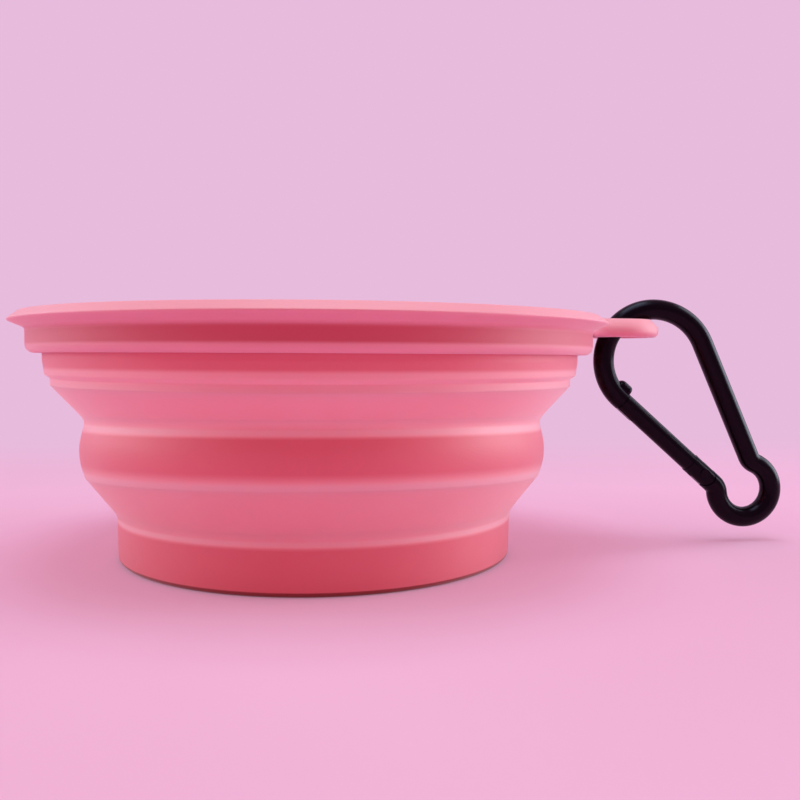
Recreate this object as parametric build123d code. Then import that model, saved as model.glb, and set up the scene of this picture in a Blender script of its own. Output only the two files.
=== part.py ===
from build123d import *
from math import atan2, cos, degrees, hypot, radians, sin, sqrt
import os

os.makedirs("parts", exist_ok=True)

# A collapsible silicone bowl with a hard rim, a hanging tab and a small snap hook.
# Millimetres, +Z up, origin at the centre of the face that the bowl rests on, +X towards the tab.

# Driving sizes of the bowl: the rim's radius, the steps of the outer wall inwards from it,
# then the heights that stack up to the rim
rim_radius = 65.0
flange_reach = 3.3
collar_wall = 3.1
band_step = 1.6
upper_fold_inset = 5.8
valley_inset = 0.75
bulge_reach = 1.55
middle_inset = 1.6
lower_fold_inset = 5.7
shoulder_inset = 0.7
base_inset = 0.2

base_height = 10.7
lower_fold_drop = 6.8
middle_height = 13.4
upper_fold_drop = 7.0
upper_band_drop = 6.7
collar_height = 8.4

# Walls of the soft body: thick bands that keep their shape, thin webs that turn over
band_wall = 2.4
web_wall = 1.2
floor_wall = 2.2

# Radii of the outer wall, from the rim down to the base
collar_radius = rim_radius - flange_reach
band_radius = collar_radius - collar_wall
upper_fold_top_radius = band_radius - band_step
upper_fold_bottom_radius = upper_fold_top_radius - upper_fold_inset
valley_radius = upper_fold_bottom_radius - valley_inset
bulge_radius = valley_radius + bulge_reach
lower_fold_top_radius = bulge_radius - middle_inset
lower_fold_bottom_radius = lower_fold_top_radius - lower_fold_inset
base_shoulder_radius = lower_fold_bottom_radius - shoulder_inset
base_radius = base_shoulder_radius - base_inset

# Heights of each level above the resting face
lower_fold_bottom = base_height
lower_fold_top = lower_fold_bottom + lower_fold_drop
upper_fold_bottom = lower_fold_top + middle_height
upper_fold_top = upper_fold_bottom + upper_fold_drop
collar_bottom = upper_fold_top + upper_band_drop
rim_top = collar_bottom + collar_height


def turned(points, corner_radii):
    """A solid turned about the bowl's axis from a closed outline of (radius, height) points."""
    outline = FilletPolyline(*[(r, 0, z) for r, z in points], radius=corner_radii, close=True)
    return revolve(make_face(outline), axis=Axis.Z)


def web_width(top_radius, bottom_radius, drop):
    """The level width of a sloping web whose thickness across its slope is web_wall."""
    slope = atan2(top_radius - bottom_radius, drop)
    return web_wall / cos(slope)


def fold_web(top_radius, bottom_radius, bottom, drop):
    """A thin cone between two bands, with level ends that meet them face to face."""
    width = web_width(top_radius, bottom_radius, drop)
    corners = [
        (top_radius, bottom + drop),
        (bottom_radius, bottom),
        (bottom_radius - width, bottom),
        (top_radius - width, bottom + drop),
    ]
    return turned(corners, [0, 0, 0, 0])


upper_web_width = web_width(upper_fold_top_radius, upper_fold_bottom_radius, upper_fold_drop)
lower_web_width = web_width(lower_fold_top_radius, lower_fold_bottom_radius, lower_fold_drop)

# Rim ring: a hard ring with a flat flange, a collar under it and the hanging tab
flange_edge_thickness = 1.9
flange_root_thickness = 3.3
flange_round = 1.3
flange_lower_round = 0.5
collar_root_round = 0.9
collar_foot_round = 1.7
bore_edge_round = 0.4
key_depth = 0.8
key_height = 2.0
key_taper = 0.4
key_middle = collar_bottom + collar_height / 2


def key_points(direction):
    """The ridge round the soft band that locks it into the collar, listed up or down."""
    low = key_middle - direction * key_height / 2
    high = key_middle + direction * key_height / 2
    return [
        (band_radius, low),
        (band_radius + key_depth, low + direction * key_taper),
        (band_radius + key_depth, high - direction * key_taper),
        (band_radius, high),
    ]


def rim_body():
    points = [
        (band_radius, rim_top),
        (rim_radius, rim_top),
        (rim_radius, rim_top - flange_edge_thickness),
        (collar_radius, rim_top - flange_root_thickness),
        (collar_radius, collar_bottom),
        (band_radius, collar_bottom),
    ] + key_points(1)
    radii = [bore_edge_round, flange_round, flange_lower_round, collar_root_round, collar_foot_round]
    return turned(points, radii + [0, 0, 0, 0, 0])


# Hanging tab: a flat ear level with the rim's top, with a round hole for the hook's wire
tab_radius = 11.2
tab_reach = 3.6
tab_thickness = 4.1
tab_root_fillet = 5.0
tab_root_inset = 0.5
tab_upper_round = 1.7
tab_lower_round = 1.1
tab_hole_radius = 5.6
tab_hole_offset = 2.9
tab_hole_round = 0.8
tab_centre_x = rim_radius + tab_reach
tab_hole_x = tab_centre_x + tab_hole_offset
tab_inner_radius = collar_radius - collar_root_round


def tab_outline():
    ear = Circle(rim_radius - tab_root_inset) + Pos(tab_centre_x, 0) * Circle(tab_radius)
    corners = ear.vertices().filter_by(lambda v: abs(v.Y) > tab_radius / 2)
    ear = fillet(corners, tab_root_fillet)
    reach = 2 * (tab_radius + tab_root_fillet)
    window = Pos(rim_radius, 0) * Rectangle(reach, reach)
    return (ear - Circle(tab_inner_radius)) & window


def tab_body():
    ear = extrude(Pos(0, 0, rim_top - tab_thickness) * tab_outline(), tab_thickness)

    def outer_edges(height):
        level = ear.edges().filter_by(lambda e: abs(e.center().Z - height) < tab_lower_round / 2)
        return level.filter_by(lambda e: e.center().X > rim_radius + tab_radius / 2)

    ear = fillet(outer_edges(rim_top), tab_upper_round)
    ear = fillet(outer_edges(rim_top - tab_thickness), tab_lower_round)
    return ear


def tab_hole():
    """The hole's cutter, flared at both ends so that its edges come out rounded."""
    half = tab_thickness / 2
    flare = tab_hole_round
    corner = tab_hole_radius + flare
    profile = Polyline(
        (0, 0, half), (corner, 0, half), (corner, 0, -half), (0, 0, -half), close=True
    )
    cutter = revolve(make_face(profile), axis=Axis.Z)
    waist = Torus(corner, flare)
    collar = Cylinder(corner, tab_thickness - 2 * flare) - Cylinder(
        tab_hole_radius, tab_thickness - 2 * flare
    )
    ends = half - flare
    cutter = cutter - collar - Pos(0, 0, ends) * waist - Pos(0, 0, -ends) * waist
    return Pos(tab_hole_x, 0, rim_top - half) * cutter


rim_ring = rim_body() + tab_body() - tab_hole()

# Upper band: the soft body's thick top, keyed into the collar and showing below it
liner_drop = 0.9
band_taper = 0.5
band_lip_height = 1.9
band_lip_round = 1.2
band_step_round = 0.35
liner_round = 0.8
band_shadow_drop = 1.4
upper_band_inner = band_radius - band_wall


def upper_band_body():
    points = [
        (upper_band_inner, rim_top - liner_drop),
        (band_radius, rim_top - liner_drop),
    ]
    points += key_points(-1)
    points += [
        (band_radius, collar_bottom - band_shadow_drop),
        (band_radius - band_taper, upper_fold_top + band_lip_height + band_step_round),
        (upper_fold_top_radius, upper_fold_top + band_lip_height - band_step_round),
        (upper_fold_top_radius, upper_fold_top),
        (upper_fold_top_radius - upper_web_width, upper_fold_top),
        (upper_band_inner, upper_fold_top + band_lip_height),
    ]
    radii = [liner_round, 0, 0, 0, 0, 0]
    radii += [band_wall, band_lip_round / 2, band_step_round, 0, 0, band_lip_round]
    return turned(points, radii)


upper_band = upper_band_body()
upper_fold = fold_web(
    upper_fold_top_radius, upper_fold_bottom_radius, upper_fold_bottom, upper_fold_drop
)

# Middle band: a thick ring that bulges a little, with a valley under the upper fold
valley_drop = 1.3
valley_round = 1.5
bulge_rise = 5.1
bulge_round = 12.0
valley_wall = 2.1
valley_inner_radius = valley_radius - valley_wall
bulge_height = lower_fold_top + bulge_rise


def middle_band_body():
    points = [
        (upper_fold_bottom_radius, upper_fold_bottom),
        (valley_radius, upper_fold_bottom - valley_drop),
        (bulge_radius, bulge_height),
        (lower_fold_top_radius, lower_fold_top),
        (lower_fold_top_radius - lower_web_width, lower_fold_top),
        (bulge_radius - band_wall, bulge_height),
        (valley_inner_radius, upper_fold_bottom - valley_drop - valley_round / 2),
        (upper_fold_bottom_radius - upper_web_width, upper_fold_bottom),
    ]
    return turned(points, [0, valley_round, bulge_round, 0, 0, bulge_round, valley_round, 0])


middle_band = middle_band_body()
lower_fold = fold_web(
    lower_fold_top_radius, lower_fold_bottom_radius, lower_fold_bottom, lower_fold_drop
)

# Base cup: the lowest band with the floor, which stands flat but for a shallow ring groove
shoulder_drop = 1.3
shoulder_round = 1.2
base_edge_round = 1.1
foot_width = 6.5
foot_groove_width = 5.0
foot_groove_depth = 0.6
foot_groove_slope = 0.7
floor_round = 3.0
inner_shoulder_round = 1.5


def base_cup_body():
    inner_radius = base_radius - band_wall
    groove_outer = base_radius - foot_width
    groove_inner = groove_outer - foot_groove_width
    points = [
        (lower_fold_bottom_radius, lower_fold_bottom),
        (base_shoulder_radius, lower_fold_bottom - shoulder_drop),
        (base_radius, 0),
        (groove_outer, 0),
        (groove_outer - foot_groove_slope, foot_groove_depth),
        (groove_inner + foot_groove_slope, foot_groove_depth),
        (groove_inner, 0),
        (0, 0),
        (0, floor_wall),
        (inner_radius, floor_wall),
        (inner_radius, lower_fold_bottom - shoulder_drop - shoulder_round),
        (lower_fold_bottom_radius - lower_web_width, lower_fold_bottom),
    ]
    groove_round = foot_groove_slope / 2
    radii = [0, shoulder_round, base_edge_round] + [groove_round] * 4
    radii += [0, 0, floor_round, inner_shoulder_round, 0]
    return turned(points, radii)


base_cup = base_cup_body()

# Snap hook: bent from one round wire, it hangs in the plane of the tab.
# Its sizes below are in that plane: across is the bowl's X and up is the bowl's Z.
wire_diameter = 4.8
wire_radius = wire_diameter / 2
hook_radius = 12.0
hook_offset = 7.9
hook_drop = 9.4
spine_lean_deg = 24.0
spine_offset = 12.8
eye_radius = 6.75
eye_offset = 23.2
eye_drop = 31.0
bend_radius = 2.9
gate_slope_deg = 41.4

# Sizes of the gate, measured along it from the pivot, with the nose on the minus side
gate_radius = 2.2
fork_radius = 2.35
fork_length = 3.9
fork_end_radius = 2.7
nose_run_length = 1.22
nose_overlap = 4.4
frame_clearance = 0.25
slot_width = 1.7
slot_clearance = 0.12
slot_depth_clearance = 0.2
tongue_half_height = 2.25
cam_distance = 1.6
rivet_radius = 0.75
rivet_head_radius = 1.2
rivet_head_height = 0.25
running_clearance = 0.05
bore_radius = 1.2
bore_length = 14.0
plunger_clearance = 0.1
plunger_length = 4.2
plunger_stem_radius = 0.45
plunger_stem_length = 3.0
spring_wire_radius = 0.15
spring_turns = 12
latch_pin_radius = 0.6
latch_pin_setback = 2.2
latch_clearance = 0.15
latch_web = 1.1
nose_swell = 1.4
nose_swell_radius = 1.9
nose_swell_length = 3.9
nose_swell_far_round = 1.5
nose_swell_near_round = 0.8
neck_length = 0.975
overrun = 1.0


def direction(angle_deg):
    return Vector(cos(radians(angle_deg)), sin(radians(angle_deg)))


def heading(v):
    return degrees(atan2(v.Y, v.X))


hook_centre = Vector(tab_hole_x + hook_offset, rim_top - hook_drop)
eye_centre = hook_centre + Vector(eye_offset, -eye_drop)
gate_along = direction(-gate_slope_deg)
gate_across = direction(90 - gate_slope_deg)
spine_down = direction(spine_lean_deg - 90)
spine_across = direction(spine_lean_deg)

# The gate's axis is tangent to the hook's bend, and the pivot lies on it
gate_line = hook_centre.dot(gate_across) - hook_radius
bend_to_eye = eye_radius + bend_radius
lower_bend_across = gate_line - bend_radius - eye_centre.dot(gate_across)
lower_bend_centre = (
    eye_centre
    + gate_across * lower_bend_across
    - gate_along * sqrt(bend_to_eye**2 - lower_bend_across**2)
)
wire_end = lower_bend_centre + gate_across * bend_radius
shoulder_distance = fork_end_radius + frame_clearance
pivot = wire_end - gate_along * (shoulder_distance + neck_length)

# The spine is tangent to a wider bend that continues the hook from its top
spine_line = hook_centre.dot(spine_across) + spine_offset
hook_top = hook_centre + Vector(0, hook_radius)
shoulder_radius = (spine_line - hook_top.dot(spine_across)) / (1 - spine_across.Y)
shoulder_centre = hook_top - Vector(0, shoulder_radius)
upper_bend_across = spine_line + bend_radius - eye_centre.dot(spine_across)
upper_bend_centre = (
    eye_centre
    + spine_across * upper_bend_across
    - spine_down * sqrt(bend_to_eye**2 - upper_bend_across**2)
)

in_hook_plane = Plane.XZ
gate_place = in_hook_plane * Pos(pivot.X, pivot.Y) * Rot(0, 0, -gate_slope_deg)
bend_end = hook_centre - gate_across * hook_radius
nose_end = (bend_end - pivot).dot(gate_along) + nose_run_length


def arc(centre, radius, start_deg, end_deg):
    return CenterArc((centre.X, centre.Y), radius, start_deg, end_deg - start_deg)


def frame_path():
    """The wire's centre line, from the nose over the hook, down the spine and round the eye."""
    nose = pivot + gate_along * nose_end
    nose_run = Line((nose.X, nose.Y), (bend_end.X, bend_end.Y))
    hook = arc(hook_centre, hook_radius, heading(gate_across) - 180, -270)
    shoulder = arc(shoulder_centre, shoulder_radius, 90, spine_lean_deg)
    upper_bend_start = heading(spine_across) - 180
    upper_bend_end = heading(eye_centre - upper_bend_centre)
    upper_bend = arc(upper_bend_centre, bend_radius, upper_bend_start, upper_bend_end)
    spine = Line(shoulder @ 1, upper_bend @ 0)
    eye_start = heading(upper_bend_centre - eye_centre)
    eye_end = heading(lower_bend_centre - eye_centre) - 360
    eye = arc(eye_centre, eye_radius, eye_start, eye_end)
    lower_bend_start = heading(eye_centre - lower_bend_centre)
    lower_bend_end = heading(gate_across)
    lower_bend = arc(lower_bend_centre, bend_radius, lower_bend_start, lower_bend_end)
    neck = Line(lower_bend @ 1, (pivot.X, pivot.Y))
    return nose_run, hook, shoulder, spine, upper_bend, eye, lower_bend, neck


def rod(radius, start, end):
    """A round bar along the gate's axis, between two distances from the pivot."""
    return Pos((start + end) / 2, 0, 0) * Rot(0, 90, 0) * Cylinder(radius, end - start)


def slab(start, end, low, high, width):
    """A flat block in the gate's own frame, centred on the hook's plane."""
    middle = Pos((start + end) / 2, (low + high) / 2, 0)
    return middle * Box(end - start, high - low, width)


def disc(radius, width, along=0.0, across=0.0):
    return Pos(along, across, 0) * Cylinder(radius, width)


def tongue_slab(start, end, low, high):
    return slab(start, end, low, high, slot_width - 2 * slot_clearance)


latch_pin_along = nose_end + latch_pin_setback
slot_end = -hypot(cam_distance, tongue_half_height) - slot_depth_clearance
bore_end = slot_end - bore_length
plunger_radius = bore_radius - plunger_clearance
plunger_back = -cam_distance - plunger_length
latch_pin_across = 0.0
nose_tongue_top = latch_web - slot_depth_clearance


def nose_swelling():
    """The nose is pressed into a round bump on its inner side, next to the gate's end."""
    end = nose_end - frame_clearance
    bump = rod(nose_swell_radius, end - nose_swell_length, end)
    bump = fillet(bump.edges().group_by(Axis.X)[0], nose_swell_far_round)
    bump = fillet(bump.edges().group_by(Axis.X)[-1], nose_swell_near_round)
    return Pos(0, wire_radius + nose_swell - nose_swell_radius, 0) * bump


def frame_body():
    edges = frame_path()
    path = Wire(edges)
    section = Plane(origin=path @ 0, z_dir=path % 0) * Circle(wire_radius)
    wire = in_hook_plane * sweep(section, path=path)
    full = wire_diameter + 2 * overrun

    # The neck stops short of the gate's round end, and the nose short of its flat end
    wire -= gate_place * disc(shoulder_distance, full)
    wire -= gate_place * slab(-fork_length, 0, -full, full, full)
    wire -= gate_place * slab(
        nose_end - frame_clearance, nose_end + overrun, -wire_radius - overrun, full, full
    )
    wire += gate_place * nose_swelling()

    # Hinge tongue with its flat cam face, then the nose tongue with the notch for the latch pin
    wire += gate_place * tongue_slab(
        -cam_distance, shoulder_distance + overrun, -tongue_half_height, tongue_half_height
    )
    wire -= gate_place * disc(rivet_radius + running_clearance, full)
    tongue_start = nose_end - frame_clearance - overrun
    wire += gate_place * tongue_slab(
        tongue_start, nose_end + nose_overlap, -tongue_half_height, nose_tongue_top
    )
    notch = latch_pin_radius + latch_clearance
    wire -= gate_place * disc(notch, full / 2, latch_pin_along, latch_pin_across)
    wire -= gate_place * slab(
        latch_pin_along - notch, latch_pin_along + notch, latch_pin_across, latch_web, full / 2
    )
    return wire


def gate_body():
    body = rod(gate_radius, nose_end, 0) + rod(fork_radius, -fork_length, fork_end_radius)
    body = body & (
        slab(nose_end, 0, -wire_diameter, wire_diameter, 2 * wire_diameter)
        + disc(fork_end_radius, 2 * wire_diameter)
    )
    reach = fork_radius + overrun
    body -= slab(slot_end, fork_end_radius + overrun, -reach, reach, slot_width)
    body -= slab(
        nose_end - overrun,
        nose_end + nose_overlap + slot_depth_clearance,
        -reach,
        latch_web,
        slot_width,
    )
    body -= rod(bore_radius, bore_end, fork_end_radius + overrun)
    body -= disc(rivet_radius, 2 * reach)
    body -= disc(latch_pin_radius, 2 * reach, latch_pin_along, latch_pin_across)
    return gate_place * body


def hinge_rivet_body():
    """The hinge pin, with a low round head on each side of the fork."""
    shank = disc(rivet_radius, 2 * fork_radius + 2 * rivet_head_height)
    outer = fork_radius + rivet_head_height / 2
    head = Cylinder(rivet_head_radius, rivet_head_height)
    return gate_place * (shank + Pos(0, 0, outer) * head + Pos(0, 0, -outer) * head)


def latch_pin_body():
    chord = sqrt(gate_radius**2 - latch_pin_radius**2)
    return gate_place * disc(latch_pin_radius, 2 * chord, latch_pin_along, latch_pin_across)


def plunger_body():
    head = rod(plunger_radius, plunger_back, -cam_distance)
    stem = rod(plunger_stem_radius, plunger_back - plunger_stem_length, plunger_back)
    return gate_place * (head + stem)


def spring_body():
    """The closing spring, one helix between the bore's end and the plunger's back."""
    mean_radius = bore_radius - plunger_clearance - spring_wire_radius
    length = plunger_back - bore_end - 2 * spring_wire_radius
    pitch = length / spring_turns
    coil = Helix(pitch, length, mean_radius)
    section = Plane(origin=coil @ 0, z_dir=coil % 0) * Circle(spring_wire_radius)
    spring = sweep(section, path=coil, is_frenet=True)
    print("spring gap between turns", round(pitch - 2 * spring_wire_radius, 2))
    return gate_place * Pos(bore_end + spring_wire_radius, 0, 0) * Rot(0, 90, 0) * spring


parts = {
    "rim_ring": rim_ring,
    "upper_band": upper_band,
    "upper_fold": upper_fold,
    "middle_band": middle_band,
    "lower_fold": lower_fold,
    "base_cup": base_cup,
    "hook_frame": frame_body(),
    "gate_arm": gate_body(),
    "gate_rivet": hinge_rivet_body(),
    "gate_latch_pin": latch_pin_body(),
    "gate_plunger": plunger_body(),
    "gate_spring": spring_body(),
}

for name, solid in parts.items():
    export_step(solid, f"parts/{name}.step")

print("rim top", rim_top, "pivot", pivot, "hook centre", hook_centre)
print("travel of the middle and base bands", 2 * upper_fold_drop, 2 * lower_fold_drop)
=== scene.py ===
from math import ceil, cos, degrees, pi, radians, sin, tan

import bmesh
import bpy
from mathutils import Matrix, Vector


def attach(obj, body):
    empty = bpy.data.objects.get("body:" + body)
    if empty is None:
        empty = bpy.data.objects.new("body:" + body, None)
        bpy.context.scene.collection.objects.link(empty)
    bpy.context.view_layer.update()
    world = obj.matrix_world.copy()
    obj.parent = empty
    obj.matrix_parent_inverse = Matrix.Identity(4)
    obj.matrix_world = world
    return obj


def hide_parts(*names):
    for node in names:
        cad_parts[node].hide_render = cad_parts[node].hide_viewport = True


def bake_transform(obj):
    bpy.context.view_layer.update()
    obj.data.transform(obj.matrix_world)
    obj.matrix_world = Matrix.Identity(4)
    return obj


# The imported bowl, in metres, with +Z up and the hanging tab towards +X
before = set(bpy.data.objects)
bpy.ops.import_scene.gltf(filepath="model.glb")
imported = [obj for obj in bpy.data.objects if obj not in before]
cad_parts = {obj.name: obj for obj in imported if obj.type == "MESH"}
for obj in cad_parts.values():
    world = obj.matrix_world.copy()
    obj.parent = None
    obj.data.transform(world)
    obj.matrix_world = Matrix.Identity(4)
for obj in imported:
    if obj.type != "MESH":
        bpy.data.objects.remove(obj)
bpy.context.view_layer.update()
MM = 0.001


# The camera stands low in front of the bowl and looks a little to the right
CAMERA_PLACE = Vector((0, -0.2020, 0.0439))
CAMERA_YAW = radians(5.40)
CAMERA_PITCH = radians(2.76)
CAMERA_ROLL = radians(0.26)
CAMERA_SENSOR = 36.0
CAMERA_LENS = 39.42
CAMERA_NEAR = 0.01


def stand_camera():
    reach = cos(CAMERA_PITCH)
    ahead = Vector((sin(CAMERA_YAW) * reach, cos(CAMERA_YAW) * reach, -sin(CAMERA_PITCH)))
    level = Vector((cos(CAMERA_YAW), -sin(CAMERA_YAW), 0))
    above = level.cross(ahead)
    right = level * cos(CAMERA_ROLL) + above * sin(CAMERA_ROLL)
    up = above * cos(CAMERA_ROLL) - level * sin(CAMERA_ROLL)
    lens = bpy.data.cameras.new("camera")
    lens.sensor_width = CAMERA_SENSOR
    lens.lens = CAMERA_LENS
    lens.clip_start = CAMERA_NEAR
    camera = bpy.data.objects.new("camera", lens)
    turn = Matrix((right, up, -ahead)).transposed().to_4x4()
    camera.matrix_world = Matrix.Translation(CAMERA_PLACE) @ turn
    bpy.context.scene.collection.objects.link(camera)
    bpy.context.scene.camera = camera


# Materials

# Sockets that are read by their order, because their node has several of one name or kind
MIX_FACTOR, MIX_ONE, MIX_OTHER, MIX_RESULT = 0, 6, 7, 2
OBJECT_POINT = 3
ATTRIBUTE_NUMBER = 2
CAMERA_RAY, GLOSSY_RAY, TRANSMISSION_RAY = 0, 3, 6


class Value:
    """A number or colour that varies over a surface; arithmetic on it adds Math nodes."""

    def __init__(self, nodes, socket):
        self.nodes = nodes
        self.socket = socket

    def math(self, operation, *others):
        return self.nodes.add("ShaderNodeMath", {"operation": operation}, self, *others)[0]

    def __add__(self, other):
        return self.math("ADD", other)

    def __radd__(self, other):
        return self.math("ADD", other)

    def __sub__(self, other):
        return self.math("SUBTRACT", other)

    def __rsub__(self, other):
        return self.nodes.add("ShaderNodeMath", {"operation": "SUBTRACT"}, other, self)[0]

    def __mul__(self, other):
        return self.math("MULTIPLY", other)

    def __rmul__(self, other):
        return self.math("MULTIPLY", other)

    def clamped(self):
        return self.nodes.add("ShaderNodeClamp", {}, self, 0.0, 1.0)[0]

    def ramp(self, low, high):
        """0 below low and 1 above high, with a smooth rise between them."""
        settings = {"interpolation_type": "SMOOTHSTEP"}
        return self.nodes.add("ShaderNodeMapRange", settings, self, low, high, 0.0, 1.0)[0]


class Nodes:
    """The nodes of a finish or of the room."""

    def __init__(self, tree):
        self.tree = tree

    def feed(self, socket, given):
        """Links a value to a socket, or sets the socket's own number or colour."""
        if isinstance(given, Value):
            self.tree.links.new(given.socket, socket)
        else:
            socket.default_value = given

    def add(self, kind, settings, *inputs, **named):
        """A node with its settings, then what its sockets get, by their order or by name."""
        made = self.tree.nodes.new(kind)
        for key, setting in settings.items():
            setattr(made, key, setting)
        for socket, given in zip(made.inputs, inputs):
            self.feed(socket, given)
        for key, given in named.items():
            self.feed(made.inputs[key.replace("_", " ")], given)
        return [Value(self, socket) for socket in made.outputs]

    def place(self):
        """The point on the piece, in metres."""
        return self.add("ShaderNodeTexCoord", {})[OBJECT_POINT]

    def noise(self, scale, detail=2.0):
        settings = {"Scale": scale, "Detail": detail, "Roughness": 0.5}
        return self.add("ShaderNodeTexNoise", {}, Vector=self.place(), **settings)[0]

    def mix(self, factor, one, other):
        """One colour where the factor is 0 and the other where it is 1."""
        made = self.tree.nodes.new("ShaderNodeMix")
        made.data_type = "RGBA"
        self.feed(made.inputs[MIX_FACTOR], factor)
        self.feed(made.inputs[MIX_ONE], one)
        self.feed(made.inputs[MIX_OTHER], other)
        return Value(self, made.outputs[MIX_RESULT])

    def bump(self, height, distance, strength):
        return self.add("ShaderNodeBump", {}, Strength=strength, Distance=distance, Height=height)[0]

    def seen(self):
        """1 for what is looked at, also in a gloss or through a clear piece, and 0 for scattered light."""
        rays = self.add("ShaderNodeLightPath", {})
        return (rays[CAMERA_RAY] + rays[GLOSSY_RAY] + rays[TRANSMISSION_RAY]).clamped()


class Finish(Nodes):
    """A material under its own name, with one Principled shader."""

    def __init__(self, name):
        self.material = bpy.data.materials.new(name)
        self.material.use_nodes = True
        super().__init__(self.material.node_tree)
        self.shader = self.tree.nodes["Principled BSDF"]

    def set(self, **named):
        for key, given in named.items():
            self.feed(self.shader.inputs[key.replace("_", " ")], given)

    def coat(self, piece):
        piece.data.materials.clear()
        piece.data.materials.append(self.material)


def srgb(red, green, blue):
    """A colour as it looks on screen, 0 to 255, as the linear colour that shaders take."""
    def linear(level):
        share = level / 255
        return share / 12.92 if share <= 0.04045 else ((share + 0.055) / 1.055) ** 2.4
    return (linear(red), linear(green), linear(blue), 1.0)


# Each pink comes as two close tones, in soft clouds
CLOUDS = (0.3, 0.7)
BAND_TONES = (srgb(230, 109, 129), srgb(233, 115, 135))
# The webs' tones are the bands' pink painted lighter, as painted light
LIT_WEB_TONES = (srgb(250, 172, 184), srgb(252, 178, 190))
RIM_TONES = (srgb(239, 148, 168), srgb(242, 154, 174))
PAPER_TONES = (srgb(231, 176, 210), srgb(233, 180, 213))

# Both pink materials have a soft sheen, and let red light through deeper than the rest
PINK_SHEEN = {"Sheen_Weight": 0.5, "Sheen_Roughness": 0.45, "Sheen_Tint": (1.0, 0.82, 0.88, 1.0)}
PINK_DEPTHS = (1.0, 0.25, 0.2)

# The webs are painted paler than the bands, as painted light from the lit floor, and the bands keep the
# deeper, shaded pink: (foot, top, blur at the foot, blur at the top), in mm
PAINTED_LIGHT_WEB_ZONES = [
    (8.2, 19.8, 0.5, 1.3),
    (27.6, 41.5, 0.5, 0.5),
]

# The fold lines are painted paler still, as painted highlights: (height, half width), in mm. A share of the
# half width is evenly pale.
FOLD_HIGHLIGHT_LINES = [
    (8.9, 0.7),
    (18.2, 1.2),
    (28.5, 0.9),
]
FOLD_HIGHLIGHT_TONE = srgb(250, 200, 212)
FOLD_HIGHLIGHT_STRENGTH = 0.5
FOLD_HIGHLIGHT_CORE_SHARE = 0.2

# The foot's edge has painted shade where it meets the floor, up to this height in mm, and darkest up to a
# share of it
FOOT_SHADE_EDGE = 1.05
FOOT_SHADE_DARKEST_SHARE = 0.7
FOOT_SHADE_TONE = srgb(140, 0, 4)


def silicone_finish():
    finish = Finish("pink_silicone")
    cloud = finish.noise(scale=38.0, detail=3.0).ramp(*CLOUDS)
    grain = finish.noise(scale=2600.0)
    rise = finish.add("ShaderNodeAttribute", {"attribute_name": "rise"})[ATTRIBUTE_NUMBER]
    colour = finish.mix(cloud, *BAND_TONES)
    web = finish.mix(cloud, *LIT_WEB_TONES)
    # Painted light: the webs take the paler tones
    for foot, top, foot_blur, top_blur in PAINTED_LIGHT_WEB_ZONES:
        above_foot = rise.ramp(foot - foot_blur, foot + foot_blur)
        below_top = 1 - rise.ramp(top - top_blur, top + top_blur)
        colour = finish.mix(above_foot * below_top, colour, web)
    # Painted highlights along the fold lines
    for height, half_width in FOLD_HIGHLIGHT_LINES:
        distance = (rise - height).math("ABSOLUTE")
        line = FOLD_HIGHLIGHT_STRENGTH * (1 - distance.ramp(FOLD_HIGHLIGHT_CORE_SHARE * half_width, half_width))
        colour = finish.mix(line, colour, FOLD_HIGHLIGHT_TONE)
    # Painted contact shade at the foot's edge
    colour = finish.mix(1 - rise.ramp(FOOT_SHADE_DARKEST_SHARE * FOOT_SHADE_EDGE, FOOT_SHADE_EDGE), colour, FOOT_SHADE_TONE)
    finish.set(Base_Color=colour, Roughness=0.5 + 0.08 * grain, IOR=1.7, **PINK_SHEEN)
    finish.set(Normal=finish.bump(grain, distance=0.00003, strength=0.5))
    finish.set(Subsurface_Weight=0.2, Subsurface_Radius=PINK_DEPTHS, Subsurface_Scale=0.003)
    return finish


# The rim's upright wall is painted deeper with the shade under the flange, from its foot to its top and
# within its outside, in mm
WALL_FOOT = (45.9, 46.7)
WALL_TOP = (48.7, 50.1)
WALL_OUTSIDE = (62.0, 63.0)
WALL_SHADE_TONE = srgb(211, 72, 100)


def rim_finish():
    finish = Finish("pink_rim_plastic")
    cloud = finish.noise(scale=30.0).ramp(*CLOUDS)
    grain = finish.noise(scale=3200.0)
    x, y, z = finish.add("ShaderNodeSeparateXYZ", {}, finish.place())
    height = z * (1 / MM)
    radius = (x * x + y * y).math("SQRT") * (1 / MM)
    # Painted shade on the upright wall under the flange
    wall = height.ramp(*WALL_FOOT) * (1 - height.ramp(*WALL_TOP)) * (1 - radius.ramp(*WALL_OUTSIDE))
    colour = finish.mix(wall, finish.mix(cloud, *RIM_TONES), WALL_SHADE_TONE)
    finish.set(Base_Color=colour, Roughness=0.55 + 0.08 * grain, IOR=1.85, **PINK_SHEEN)
    finish.set(Normal=finish.bump(grain, distance=0.00002, strength=0.4))
    finish.set(Subsurface_Weight=0.1, Subsurface_Radius=PINK_DEPTHS, Subsurface_Scale=0.002)
    return finish


def black_finish():
    finish = Finish("black_enamel")
    ripple = finish.noise(scale=260.0, detail=3.0)
    fine = finish.noise(scale=3400.0)
    finish.set(Base_Color=srgb(4, 2, 4), Roughness=0.2 + 0.06 * fine, IOR=1.5)
    finish.set(Specular_IOR_Level=0.15, Specular_Tint=(0.95, 0.62, 0.95, 1.0))
    finish.set(Normal=finish.bump(ripple, distance=0.00006, strength=0.5))
    return finish


def steel_finish():
    finish = Finish("bright_steel")
    drawn = finish.noise(scale=1800.0)
    finish.set(Base_Color=srgb(178, 178, 182), Metallic=1.0, Roughness=0.25 + 0.15 * drawn)
    return finish


# Shapes

# Points nearer to each other than these, in metres, count as one
WELD = 1e-6
FINE_WELD = 1e-7
TAB_WELD = 2e-5

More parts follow.
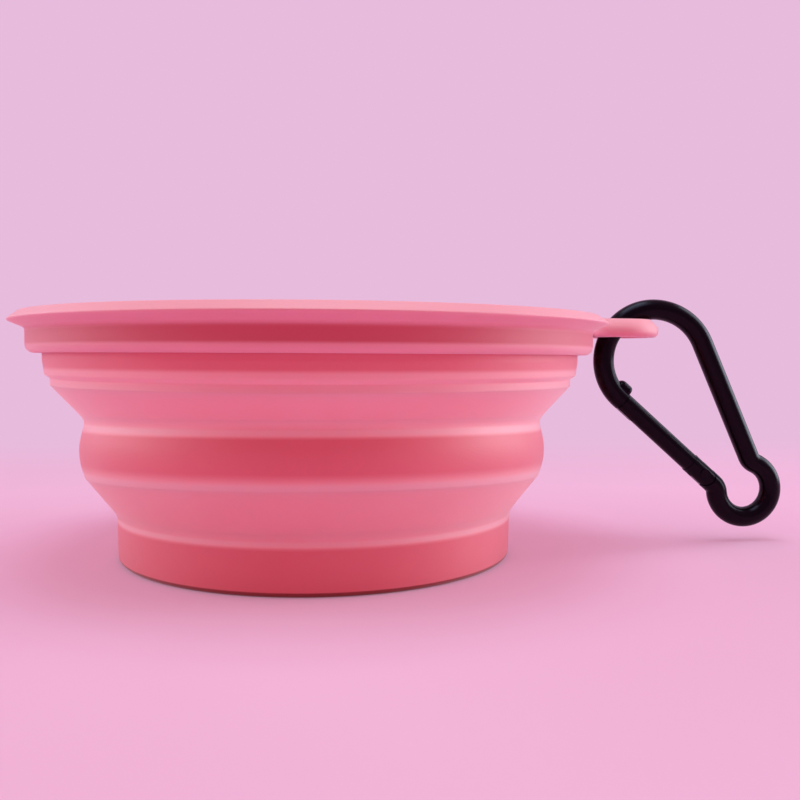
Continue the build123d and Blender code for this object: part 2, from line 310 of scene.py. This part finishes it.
# A shell turned about Z has this many steps, and its straight runs are divided to about this width, in mm
TURN_STEPS = 288
WIDEST_RUN = 2.5

# A rounded corner of an outline has a segment for each of these degrees, but at least the fewest
SEGMENT_DEGREES = 7
FEWEST_SEGMENTS = 3


def bevel(bm, geom, offset, segments, affect):
    bmesh.ops.bevel(
        bm,
        geom=geom,
        offset=offset,
        offset_type="OFFSET",
        segments=segments,
        profile=0.5,
        affect=affect,
        material=-1,
    )


def move_new(bm, extruded, way):
    """Moves the points that an extrusion has made."""
    verts = [part for part in extruded["geom"] if isinstance(part, bmesh.types.BMVert)]
    bmesh.ops.translate(bm, verts=verts, vec=way)


def line_through(bm, points):
    """Points in metres, joined by edges in their order."""
    verts = [bm.verts.new(point) for point in points]
    for one, other in zip(verts, verts[1:]):
        bm.edges.new((one, other))
    return verts


def rounded_outline(bm, corners, closed):
    """A line of (radius, height, rounding) corners in the XZ plane, in mm, with each corner rounded."""
    verts = line_through(bm, [(radius * MM, 0, height * MM) for radius, height, _ in corners])
    if closed:
        bm.edges.new((verts[-1], verts[0]))
    for vert, (_, _, rounding) in zip(verts, corners):
        if not rounding:
            continue
        arms = [edge.other_vert(vert).co - vert.co for edge in vert.link_edges]
        opening = arms[0].angle(arms[1])
        segments = max(FEWEST_SEGMENTS, ceil(degrees(pi - opening) / SEGMENT_DEGREES))
        bevel(bm, [vert], rounding * MM / tan(opening / 2), segments, "VERTICES")


def turned(corners, closed):
    """A shell turned about Z from an outline, with its long straight runs divided."""
    bm = bmesh.new()
    rounded_outline(bm, corners, closed)
    for edge in list(bm.edges):
        cuts = int(edge.calc_length() / (WIDEST_RUN * MM))
        if cuts:
            bmesh.ops.subdivide_edges(bm, edges=[edge], cuts=cuts)
    bmesh.ops.spin(
        bm,
        geom=bm.verts[:] + bm.edges[:],
        cent=(0, 0, 0),
        axis=(0, 0, 1),
        angle=2 * pi,
        steps=TURN_STEPS,
        use_merge=True,
    )
    bmesh.ops.remove_doubles(bm, verts=bm.verts, dist=WELD)
    bmesh.ops.recalc_face_normals(bm, faces=bm.faces)
    return bm


def slice_between(whole, low, high):
    """A copy of a shell between two heights in mm, closed with a level face at each cut."""
    bm = whole.copy()
    for height, side in ((low, -1), (high, 1)):
        if height is None:
            continue
        cut = bmesh.ops.bisect_plane(
            bm,
            geom=bm.verts[:] + bm.edges[:] + bm.faces[:],
            dist=FINE_WELD,
            plane_co=(0, 0, height * MM),
            plane_no=(0, 0, side),
            clear_outer=True,
        )
        rings = [part for part in cut["geom_cut"] if isinstance(part, bmesh.types.BMEdge)]
        made = bmesh.ops.bridge_loops(bm, edges=rings)
        for face in made["faces"]:
            face.normal_update()
            if face.normal.z * side < 0:
                face.normal_flip()
        for edge in rings:
            edge.smooth = False
    return bm


def settle(bm, name):
    """Makes a piece of a bmesh, smooth but for its marked edges."""
    mesh = bpy.data.meshes.new(name)
    for face in bm.faces:
        face.smooth = True
    bm.to_mesh(mesh)
    bm.free()
    piece = bpy.data.objects.new(name, mesh)
    bpy.context.scene.collection.objects.link(piece)
    return piece


# The soft body: one turned outline, cut where its two webs fold. Heights and radii in mm.
UPPER_FOLD_TOP = 37.9
UPPER_FOLD_BOTTOM = 30.9
LOWER_FOLD_TOP = 17.5
LOWER_FOLD_BOTTOM = 10.7

# The outline as (radius, height, rounding) corners: along the inside from the middle of the floor, then down
# the outside and back under the foot
SOFT_OUTLINE = [
    (0, 2.2, 0),
    (41.35, 2.2, 3.0),
    (41.5, 8.2, 1.5),
    (42.85, 10.6, 0.8),
    (48.75, 17.55, 0.9),
    (49.6, 22.6, 12.0),
    (48.25, 28.9, 1.5),
    (55.35, 37.8, 1.2),
    (56.2, 39.8, 1.2),
    (56.2, 52.1, 0.4),
    (58.5, 52.1, 0.3),
    (58.5, 43.2, 2.4),
    (58.1, 40.15, 0.6),
    (57.0, 39.45, 0.35),
    (57.0, 37.95, 0.5),
    (51.2, 30.9, 0.9),
    (50.4, 29.6, 1.5),
    (52.0, 22.6, 12.0),
    (50.4, 17.5, 0.9),
    (44.7, 10.7, 0.9),
    (44.0, 9.4, 1.2),
    (43.8, 0, 1.1),
    (37.3, 0, 0.35),
    (36.6, 0.6, 0.35),
    (33.0, 0.6, 0.35),
    (32.3, 0, 0.35),
    (0, 0, 0),
]

# The soft middle stands a little askew: at the front each ring is higher by this much, in mm. The lean acts
# outside the still core, and is worked out at the soft body's mean radius.
LEAN = [
    (0, 0),
    (LOWER_FOLD_BOTTOM, 1.2),
    (LOWER_FOLD_TOP, 3.0),
    (UPPER_FOLD_BOTTOM, 2.2),
    (UPPER_FOLD_TOP, 0),
]
STILL_CORE = 30
MEAN_RADIUS = 52


def lean_at(height):
    for (low, start), (high, end) in zip(LEAN, LEAN[1:]):
        if low <= height <= high:
            return start + (end - start) * (height - low) / (high - low)
    return 0


def lean(bm):
    """Leans the rings of a soft piece, which first keep their upright heights in the attribute rise."""
    rise = bm.verts.layers.float.new("rise")
    for vert in bm.verts:
        vert[rise] = vert.co.z / MM
        radius = vert.co.xy.length
        if radius > STILL_CORE * MM:
            vert.co.z -= lean_at(vert.co.z / MM) * MM * vert.co.y / radius


def soft_body(finish):
    whole = turned(SOFT_OUTLINE, closed=False)
    slices = [
        ("soft_upper_band", "upper_band", UPPER_FOLD_TOP, None),
        ("soft_upper_fold", "upper_fold", UPPER_FOLD_BOTTOM, UPPER_FOLD_TOP),
        ("soft_middle_band", "middle_band", LOWER_FOLD_TOP, UPPER_FOLD_BOTTOM),
        ("soft_lower_fold", "lower_fold", LOWER_FOLD_BOTTOM, LOWER_FOLD_TOP),
        ("soft_base_cup", "base_cup", None, LOWER_FOLD_BOTTOM),
    ]
    made = {}
    for name, node, low, high in slices:
        bm = slice_between(whole, low, high)
        lean(bm)
        piece = settle(bm, name)
        finish.coat(piece)
        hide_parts(node)
        made[node] = piece
    whole.free()
    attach(made["upper_band"], "rim")
    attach(made["middle_band"], "middle")
    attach(made["base_cup"], "base")
    fold_across(made["upper_fold"], UPPER_FOLD_TOP, UPPER_FOLD_BOTTOM)
    fold_across(made["lower_fold"], LOWER_FOLD_TOP, LOWER_FOLD_BOTTOM)


def fold_across(piece, top, bottom):
    """Works out a line from the web's top to its bottom that leans as the web does, which nothing uses, and
    bakes the web's place into its mesh.
    """
    run = bottom - top
    tilt = (lean_at(top) + lean_at(bottom)) / 2 / MEAN_RADIUS
    start = Vector((0, 0, top)) * MM
    end = start + Vector((0, tilt * run, run)) * MM
    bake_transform(piece)


# The rim: a turned ring and the flat tab that the hook hangs from. Heights and radii in mm.
RIM_TOP = 53.0
RIM_OUTLINE = [
    (58.6, RIM_TOP, 0.4),
    (62.9, RIM_TOP, 0.5),
    (65.0, 51.45, 0.2),
    (65.0, 51.1, 0.4),
    (61.7, 49.7, 0.9),
    (61.7, 44.6, 1.7),
    (58.6, 44.6, 0.2),
]

# The tab's plan, as (x, y, rounding) corners; the last four lie inside the ring. Its top is a hair lower than
# the ring's.
TAB_PLAN = [
    (61.9, 11.2, 5.0),
    (79.8, 11.2, 11.19),
    (79.8, -11.2, 11.19),
    (61.9, -11.2, 5.0),
    (59.7, -15.1, 0),
    (59.4, -13.5, 0),
    (59.4, 13.5, 0),
    (59.7, 15.1, 0),
]
TAB_DROP = 0.01
TAB_TOP = RIM_TOP - TAB_DROP
TAB_THICKNESS = 4.1
TAB_TOP_CHAMFER = 1.8
TAB_FOOT_ROUND = 1.1
ROUND_SEGMENTS = 7

# The round hole in the tab; its edge is looked for a little way past its radius
HOLE_X = 71.5
HOLE_RADIUS = 5.6
HOLE_STEPS = 96
HOLE_ROUND = 0.8
HOLE_REACH = 0.1
CORNER_ANGLE = 1


def rim_edges(bm, height, round_hole):
    """The level edges round the tab's plate, or round its hole, at a height in metres."""
    centre = Vector((HOLE_X * MM, 0))
    reach = (HOLE_RADIUS + HOLE_REACH) * MM
    chosen = []
    for edge in bm.edges:
        level = all(abs(vert.co.z - height) < WELD for vert in edge.verts)
        near = all((vert.co.xy - centre).length < reach for vert in edge.verts)
        if level and near == round_hole and edge.calc_face_angle(0) > CORNER_ANGLE:
            chosen.append(edge)
    return chosen


def hanging_tab():
    """The tab's plate, with a flat chamfer round its top and rounds at its foot and its hole."""
    top = TAB_TOP * MM
    foot = top - TAB_THICKNESS * MM
    bm = bmesh.new()
    rounded_outline(bm, TAB_PLAN, closed=True)
    bmesh.ops.rotate(bm, verts=bm.verts, cent=(0, 0, 0), matrix=Matrix.Rotation(-pi / 2, 3, "X"))
    bmesh.ops.remove_doubles(bm, verts=bm.verts, dist=TAB_WELD)
    middle = Matrix.Translation((HOLE_X * MM, 0, 0))
    bmesh.ops.create_circle(bm, segments=HOLE_STEPS, radius=HOLE_RADIUS * MM, matrix=middle)
    bmesh.ops.bridge_loops(bm, edges=bm.edges)
    lowered = bmesh.ops.extrude_face_region(bm, geom=bm.faces[:], use_keep_orig=True)
    move_new(bm, lowered, (0, 0, -TAB_THICKNESS * MM))
    bmesh.ops.translate(bm, verts=bm.verts, vec=(0, 0, top))
    bmesh.ops.recalc_face_normals(bm, faces=bm.faces)
    cuts = [
        (top, False, TAB_TOP_CHAMFER, 1),
        (foot, False, TAB_FOOT_ROUND, ROUND_SEGMENTS),
        (top, True, HOLE_ROUND, ROUND_SEGMENTS),
        (foot, True, HOLE_ROUND, ROUND_SEGMENTS),
    ]
    for height, round_hole, cut, segments in cuts:
        bevel(bm, rim_edges(bm, height, round_hole), cut * MM, segments, "EDGES")
    mesh = bpy.data.meshes.new("hanging_tab")
    bm.to_mesh(mesh)
    bm.free()
    return mesh


def rim_and_tab(finish):
    bm = turned(RIM_OUTLINE, closed=True)
    bm.from_mesh(hanging_tab())
    piece = settle(bm, "rim_and_tab")
    weights = piece.modifiers.new("face_weighted_normals", "WEIGHTED_NORMAL")
    weights.keep_sharp = True
    finish.coat(piece)
    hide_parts("rim_ring")
    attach(piece, "rim")


def snap_hook(black, steel):
    """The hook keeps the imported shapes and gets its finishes; only its spring is made anew."""
    plan = {
        "hook_frame": black,
        "gate_arm": black,
        "gate_rivet": black,
        "gate_latch_pin": black,
        "gate_plunger": steel,
    }
    for node, finish in plan.items():
        finish.coat(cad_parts[node])
    closing_spring(steel)


def closing_spring(finish):
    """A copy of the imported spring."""
    bm = bmesh.new()
    bm.from_mesh(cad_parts["gate_spring"].data)
    bmesh.ops.remove_doubles(bm, verts=bm.verts, dist=FINE_WELD)
    piece = settle(bm, "closing_spring")
    finish.coat(piece)
    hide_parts("gate_spring")
    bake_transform(piece)


# The studio, in metres

# The paper that the bowl stands on, which curves up behind it: its line as (y, z) points, and its bend
PAPER_LEFT = -2.2
PAPER_WIDTH = 4.4
PAPER_LINE = [(-1.6, 0), (0.9, 0), (0.9, 1.9)]
PAPER_BEND = 0.45
PAPER_BEND_SEGMENTS = 24

# Its wall shows in one even tone, and its floor keeps the shadow but for this share of glow
PAPER_GLOW_TONE = srgb(231, 187, 220)
FLOOR_GLOW = 0.25
WALL_STARTS = (0.02, 0.30)


def paper_finish():
    finish = Finish("pale_paper")
    colour = finish.mix(finish.noise(scale=9.0, detail=3.0).ramp(*CLOUDS), *PAPER_TONES)
    finish.set(Base_Color=colour, Roughness=0.9, Specular_IOR_Level=0.15)
    _, behind, _ = finish.add("ShaderNodeSeparateXYZ", {}, finish.place())
    share = finish.seen() * (FLOOR_GLOW + (1 - FLOOR_GLOW) * behind.ramp(*WALL_STARTS))
    even = finish.add("ShaderNodeEmission", {}, PAPER_GLOW_TONE, 1.0)[0]
    lit = Value(finish, finish.shader.outputs[0])
    both = finish.add("ShaderNodeMixShader", {}, share, lit, even)[0]
    finish.feed(finish.tree.nodes["Material Output"].inputs[0], both)
    return finish


def backdrop(finish):
    bm = bmesh.new()
    corners = line_through(bm, [(PAPER_LEFT, y, z) for y, z in PAPER_LINE])
    bevel(bm, [corners[1]], PAPER_BEND, PAPER_BEND_SEGMENTS, "VERTICES")
    across = bmesh.ops.extrude_edge_only(bm, edges=bm.edges[:])
    move_new(bm, across, (PAPER_WIDTH, 0, 0))
    bmesh.ops.recalc_face_normals(bm, faces=bm.faces)
    paper = settle(bm, "backdrop")
    finish.coat(paper)


# The soft lamps: name, place, aim, width and height in metres, watts and colour
COOL = (0.62, 0.93, 1.0)
FRESH = (0.75, 0.97, 1.0)
AT_BOWL = (0, 0, 0.02)
AT_FLOOR = (0, 0, 0)
LAMPS = [
    ("left_wall", (-1.10, 0.25, 0.50), AT_BOWL, 1.2, 0.9, 8.4, FRESH),
    ("right_wall", (1.10, 0.25, 0.50), AT_BOWL, 1.2, 0.9, 1.2, FRESH),
    ("right_box", (0.78, 0.03, 0.18), AT_BOWL, 0.45, 0.3, 2.3, FRESH),
    ("right_upper_box", (0.62, 0.05, 0.42), AT_BOWL, 0.4, 0.3, 1.2, FRESH),
    ("top_box", (0.0, 0.0, 0.95), AT_FLOOR, 0.5, 0.5, 3.5, COOL),
    ("front_top_box", (0.0, -0.35, 0.90), AT_FLOOR, 0.6, 0.3, 1.2, COOL),
]

# The light that the room scatters, and how the room looks past the paper's edges
ROOM_LIGHT = (0.55, 0.18, 0.145, 1)
ROOM_TONE = (0.42, 0.23, 0.36, 1)


def soft_light(name, place, aim, width, height, power, colour):
    lamp = bpy.data.lights.new(name, "AREA")
    lamp.shape = "RECTANGLE"
    lamp.size = width
    lamp.size_y = height
    lamp.energy = power
    lamp.color = colour
    light = bpy.data.objects.new(name, lamp)
    place = Vector(place)
    light.location = place
    light.rotation_mode = "QUATERNION"
    light.rotation_quaternion = (Vector(aim) - place).to_track_quat("-Z", "Y")
    bpy.context.scene.collection.objects.link(light)


def light_studio():
    for lamp in LAMPS:
        soft_light(*lamp)
    world = bpy.data.worlds.new("room")
    bpy.context.scene.world = world
    world.use_nodes = True
    room = Nodes(world.node_tree)
    background = room.tree.nodes["Background"]
    room.feed(background.inputs["Color"], room.mix(room.seen(), ROOM_LIGHT, ROOM_TONE))


stand_camera()
soft_body(silicone_finish())
rim_and_tab(rim_finish())
snap_hook(black_finish(), steel_finish())
backdrop(paper_finish())
light_studio()
bpy.context.scene.view_settings.view_transform = "Standard"
